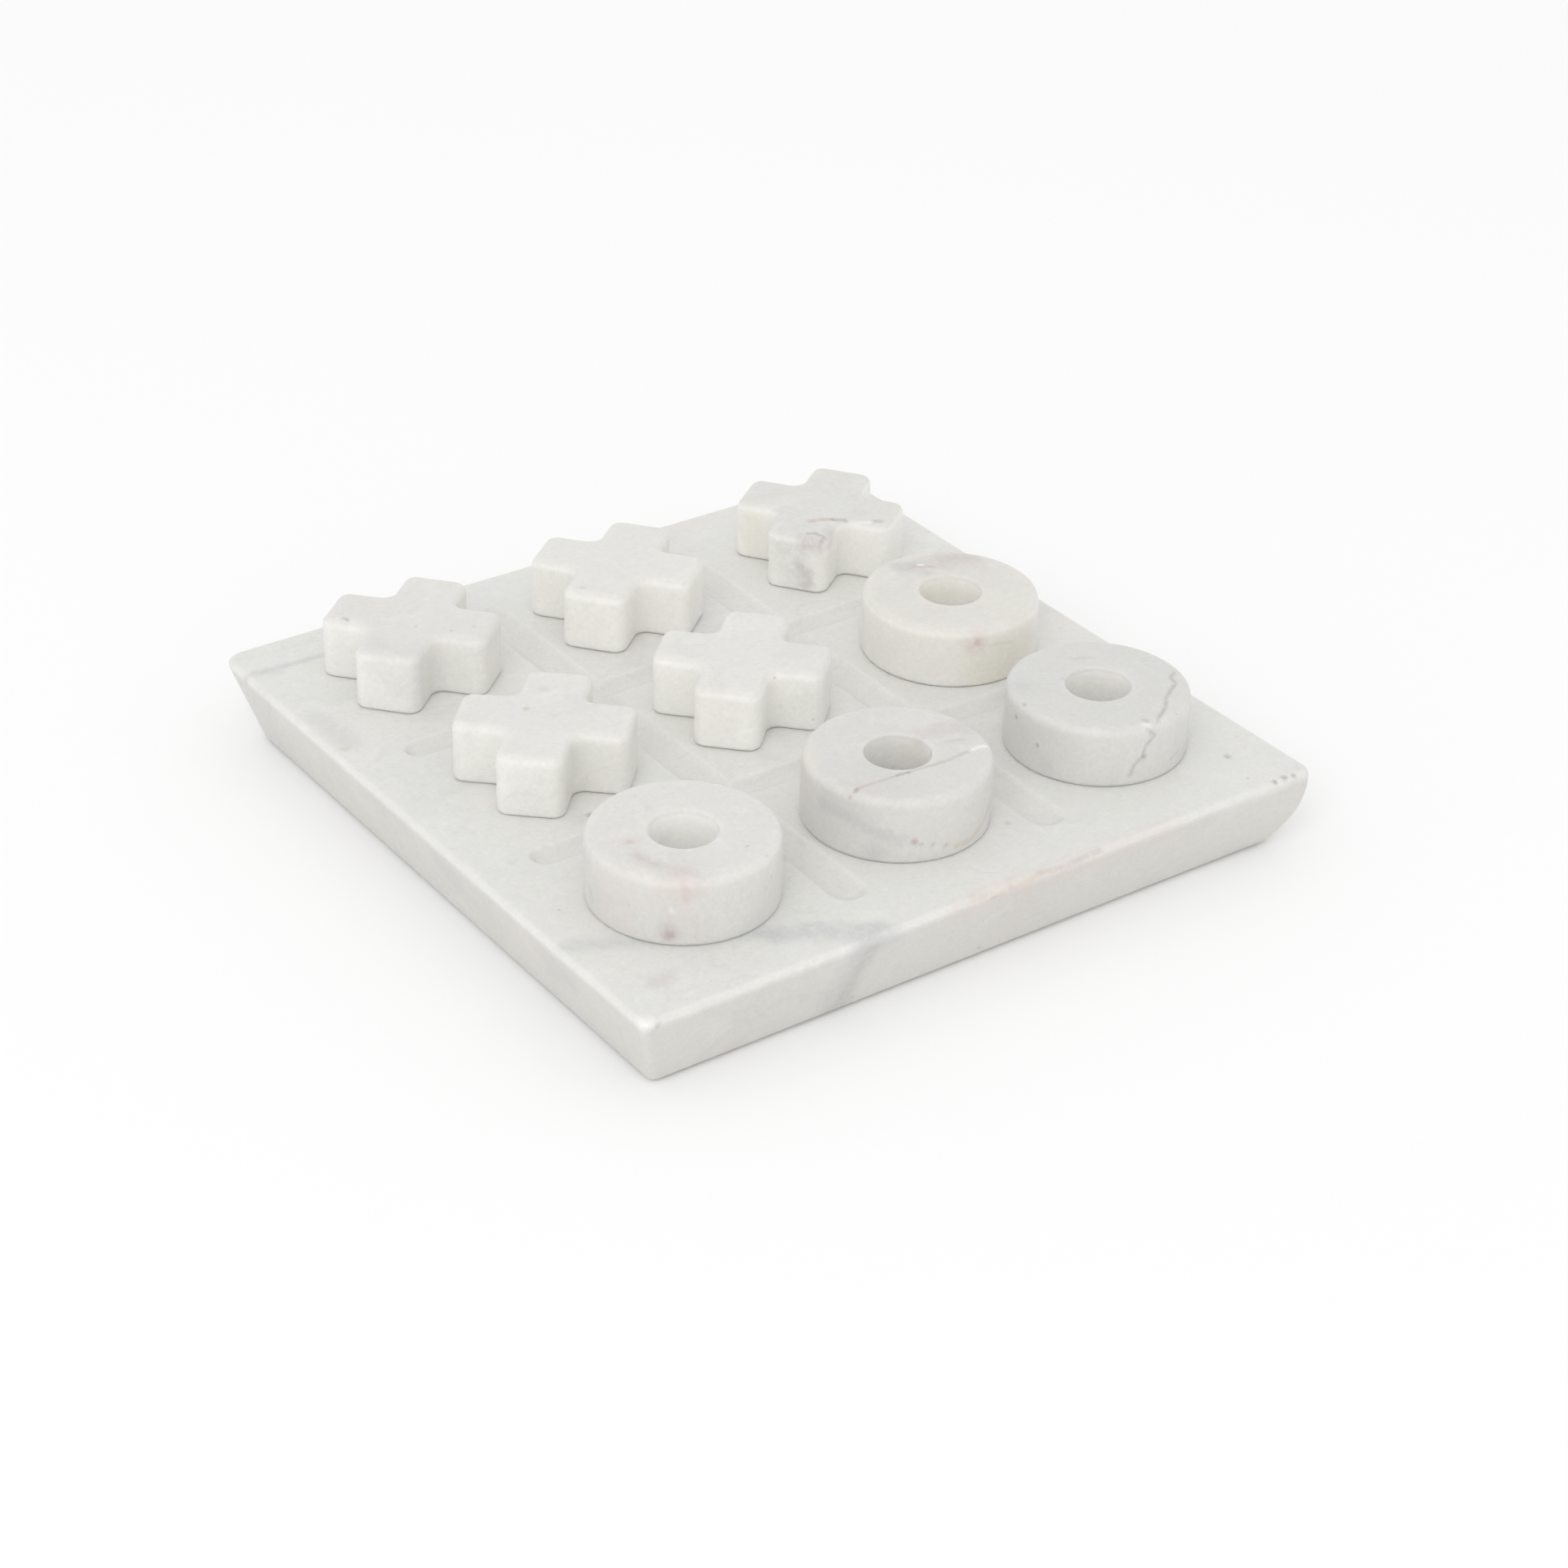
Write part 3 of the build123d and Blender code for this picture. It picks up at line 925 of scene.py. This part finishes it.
def rub_down(bm, half, top, bottom, wear):
    """The unevenness of hand work: worn edges, a wavy face and a swollen right corner."""
    right_corner = Vector((half, -half))
    for vert in bm.verts:
        place = vert.co.copy()
        rise = (place.z - bottom) / (top - bottom)
        edge_share = smooth_rise(half - 16, half - 2, max(abs(place.x), abs(place.y)))
        swell = 0.5 + 0.5 * noise.noise(place * 0.035)
        ripple = 0.5 + 0.5 * noise.noise(place * 0.33)
        inward = wear * edge_share * (swell + 0.25 * ripple)
        face_wave = 0.05 * (1 - edge_share) * (0.5 + 0.5 * noise.noise(place * 0.05))
        outward = Vector((vert.normal.x, vert.normal.y, 0))
        above_foot = smooth_rise(0.0, 0.08, rise)
        vert.co -= outward * inward
        if above_foot > 0:
            vert.co.z -= (face_wave + 0.5 * inward * max(vert.normal.z, 0.0)) * above_foot
        near_corner = 1 - smooth_rise(4, 34, (place.xy - right_corner).length)
        if near_corner > 0 and rise < SWELL_TOP:
            bow = SWELL_OUT * near_corner * math.sin(math.pi * min(rise / SWELL_TOP, 1.0)) ** 0.8
            direction = Vector((max(place.x - half + 9, 0), min(place.y + half - 9, 0), 0))
            if direction.length > 0:
                vert.co += direction.normalized() * bow
        for axis in (0, 1):
            vert.co[axis] = min(max(vert.co[axis], -half), half)
    bm.normal_update()


def make_board_shape():
    """The slab with its grooves, its leaning sides and the unevenness of hand work."""
    settings = bpy.context.scene.marble_board
    low, high = node_box("board")
    half = (high.x - low.x) / 2
    top, bottom = high.z, low.z
    run = NOMINAL_HALF_SIDE - settings.groove_end_margin
    flat = half - settings.edge_radius
    bm = board_face(flat, top, run, settings)
    add_sides(bm, flat, board_profile(half, top, bottom, settings))
    rub_down(bm, half, top, bottom, settings.wear)

    def shade_of(vert):
        """Painted shade: the sides are darker and warmer than the face, and the grooves darker with a
        little warm dirt.
        """
        if abs(vert.normal.z) < 0.75 and max(abs(vert.co.x), abs(vert.co.y)) > run + 2:
            # Painted shade on the sides, darker and warmer.
            share = smooth_rise(top - 1.2, top - 3.0, vert.co.z)
            return [1 - part * share for part in BOARD_SIDE_PAINTED_SHADE]
        # Painted shade in the grooves, with a warm dirt tint, patchy.
        shade_and_dirt = smooth_rise(top - 0.5, top - 1.5, vert.co.z) * smooth_rise(0, 6, vert.co.z)
        shade_and_dirt *= 0.7 + 0.6 * noise.noise(vert.co * 0.09)
        return [1 - part * shade_and_dirt for part in GROOVE_SHADE_AND_DIRT]

    paint_marks(bm, "board", Vector((0, 0, 0)), shade_of)
    return bm


# ------------------------------
# Operators: one for each piece or group of like pieces, and one for the stage


class MARBLE_OT_stage(bpy.types.Operator):
    """Put up the floor, the soft studio light and the camera"""

    bl_idname = "marble.stage"
    bl_label = "Studio"

    def execute(self, context):
        settings = context.scene.marble_stage
        self.put_camera(context, settings)
        self.put_lights(context, settings)
        self.put_floor(context, settings)
        context.scene.view_settings.view_transform = "Standard"
        return {"FINISHED"}

    def put_camera(self, context, settings):
        aim = Vector(settings.aim) + Vector((0, 0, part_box("board")[1].z))
        flat = math.cos(settings.elevation)
        forward = Vector((
            -math.sin(settings.azimuth) * flat,
            math.cos(settings.azimuth) * flat,
            -math.sin(settings.elevation),
        ))
        data = bpy.data.cameras.new("camera")
        data.lens = settings.lens
        data.sensor_width = SENSOR_WIDTH
        camera = bpy.data.objects.new("camera", data)
        context.scene.collection.objects.link(camera)
        turn = forward.to_track_quat("-Z", "Y").to_matrix().to_4x4()
        place = Matrix.Translation(aim - forward * settings.distance)
        camera.matrix_world = place @ turn @ Matrix.Rotation(settings.roll, 4, "Z")
        context.scene.camera = camera

    def put_lights(self, context, settings):
        world = bpy.data.worlds.new("studio")
        world.use_nodes = True
        background = world.node_tree.nodes["Background"]
        background.inputs["Color"].default_value = (1.0, 1.0, 1.0, 1.0)
        background.inputs["Strength"].default_value = settings.sky
        context.scene.world = world
        data = bpy.data.lights.new("key", "AREA")
        data.shape = "DISK"
        data.size = KEY_WIDTH
        data.energy = settings.key
        key = bpy.data.objects.new("key", data)
        context.scene.collection.objects.link(key)
        position = Vector(KEY_PLACE)
        turn = (-position).to_track_quat("-Z", "Y").to_matrix().to_4x4()
        key.matrix_world = Matrix.Translation(position) @ turn

    def put_floor(self, context, settings):
        bm = bmesh.new()
        bmesh.ops.create_grid(bm, x_segments=1, y_segments=1, size=FLOOR_REACH)
        mesh = bpy.data.meshes.new("floor")
        bm.to_mesh(mesh)
        bm.free()
        material = bpy.data.materials.new("floor")
        material.use_nodes = True
        shader = material.node_tree.nodes["Principled BSDF"]
        shader.inputs["Base Color"].default_value = settings.floor_colour
        shader.inputs["Roughness"].default_value = 0.9
        shader.inputs["Specular IOR Level"].default_value = 0.1
        mesh.materials.append(material)
        floor = bpy.data.objects.new("floor", mesh)
        context.scene.collection.objects.link(floor)


class MARBLE_OT_board(bpy.types.Operator):
    """Make the marble board with its routed grid"""

    bl_idname = "marble.board"
    bl_label = "Board"

    def execute(self, context):
        colour = tuple(context.scene.marble_stone.board_colour)
        material = marble("board_marble", colour, 0, BOARD_GLOW)
        bm = make_board_shape()
        finish_piece(bm, "marble_board", "board", "board", material)
        return {"FINISHED"}


class MARBLE_OT_o_pieces(bpy.types.Operator):
    """Make the O pieces: thick rings with a hole right through"""

    bl_idname = "marble.o_pieces"
    bl_label = "O pieces"

    def execute(self, context):
        settings = context.scene.marble_pieces
        colour = tuple(context.scene.marble_stone.o_colour)
        material = marble("o_marble", colour, 1, PIECE_GLOW)
        hole_radius = settings.hole_diameter / 2

        for number, node in enumerate(O_PIECES, start=1):
            low, high = node_box(node)
            size = high - low
            foot = foot_middle(low, high)
            bm = remeshed(cut_ring(size.x / 2, size.z), settings.cell)
            hand_finish(bm, size, number)
            bmesh.ops.translate(bm, vec=foot, verts=bm.verts)
            top, side, bore_painted_light = O_TONE_AND_PAINTED_LIGHT[node]

            def shade_of(vert):
                """Painted light and shade: the sides are lighter or darker than the top, and the wall of
                the hole lighter.
                """
                away = (vert.co.xy - foot.xy).length
                # Painted light on the wall of the hole.
                painted_bore_mask = 1.0 - smooth_rise(hole_radius + 0.1, hole_radius + 0.8, away)
                painted_bore_mask *= smooth_rise(high.z - 0.3, high.z - 1.6, vert.co.z)
                # Painted light or shade on the sides.
                painted_side_mask = 1.0 - smooth_rise(0.2, 0.85, abs(vert.normal.z))
                painted_side_mask *= smooth_rise(hole_radius + 4, hole_radius + 6, away)
                return (top + (side - top) * painted_side_mask + (bore_painted_light - top) * painted_bore_mask,) * 3

            paint_marks(bm, node, foot, shade_of)
            finish_piece(bm, "marble_" + node, node, node, material)
        return {"FINISHED"}


class MARBLE_OT_x_pieces(bpy.types.Operator):
    """Make the X pieces: thick crosses with rounded arms"""

    bl_idname = "marble.x_pieces"
    bl_label = "X pieces"

    def execute(self, context):
        settings = context.scene.marble_pieces
        colour = tuple(context.scene.marble_stone.x_colour)
        material = marble("x_marble", colour, 2, PIECE_GLOW)

        for number, (node, turn) in enumerate(X_TURNS.items(), start=5):
            low, high = node_box(node)
            height = high.z - low.z
            foot = foot_middle(low, high)
            bm = remeshed(cut_cross(height), settings.cell)
            hand_finish(bm, Vector((settings.x_span, settings.x_span, height)), number)
            place = Matrix.Translation(foot) @ Matrix.Rotation(math.radians(turn), 4, "Z")
            bmesh.ops.transform(bm, matrix=place, verts=bm.verts)
            bm.normal_update()
            top, side = X_TONE_AND_PAINTED_LIGHT[node]

            def shade_of(vert):
                """Painted light: the sides are a little lighter than the top."""
                # Painted light on the sides.
                share = 1.0 - smooth_rise(0.2, 0.85, abs(vert.normal.z))
                return (top + (side - top) * share,) * 3

            paint_marks(bm, node, foot, shade_of)
            finish_piece(bm, "marble_" + node, node, node, material)
        return {"FINISHED"}


class MARBLE_OT_pads(bpy.types.Operator):
    """Make the felt pads under the board"""

    bl_idname = "marble.pads"
    bl_label = "Pads"

    def execute(self, context):
        material = felt("pad_felt")
        for node in PADS:
            low, high = node_box(node)
            finish_piece(make_pad_shape(low, high), "felt_" + node, node, "board", material)
        return {"FINISHED"}


class MARBLE_PT_panel(bpy.types.Panel):
    """The pieces of the set, in the order in which they are made"""

    bl_idname = "MARBLE_PT_panel"
    bl_label = "Marble tic tac toe set"
    bl_space_type = "VIEW_3D"
    bl_region_type = "UI"
    bl_category = "Tic tac toe"

    def draw(self, context):
        for operator in OPERATORS:
            self.layout.operator(operator.bl_idname)
        for group in SETTINGS:
            box = self.layout.box()
            for name in PROPERTY_NAMES[group]:
                box.prop(getattr(context.scene, group), name)


SETTINGS = {
    "marble_board": BoardSettings,
    "marble_pieces": PieceSettings,
    "marble_stone": StoneSettings,
    "marble_stage": StageSettings,
}
PROPERTY_NAMES = {name: tuple(group.__annotations__) for name, group in SETTINGS.items()}
OPERATORS = (
    MARBLE_OT_stage, MARBLE_OT_board, MARBLE_OT_o_pieces, MARBLE_OT_x_pieces, MARBLE_OT_pads)


def register():
    for kind in (*SETTINGS.values(), *OPERATORS, MARBLE_PT_panel):
        bpy.utils.register_class(kind)
    for name, group in SETTINGS.items():
        setattr(bpy.types.Scene, name, PointerProperty(type=group))


def unregister():
    for name in SETTINGS:
        delattr(bpy.types.Scene, name)
    for kind in (MARBLE_PT_panel, *reversed(OPERATORS), *reversed(SETTINGS.values())):
        bpy.utils.unregister_class(kind)


def main():
    register()
    bpy.ops.marble.stage()
    bpy.ops.marble.board()
    bpy.ops.marble.o_pieces()
    bpy.ops.marble.x_pieces()
    bpy.ops.marble.pads()


if __name__ == "__main__":
    main()
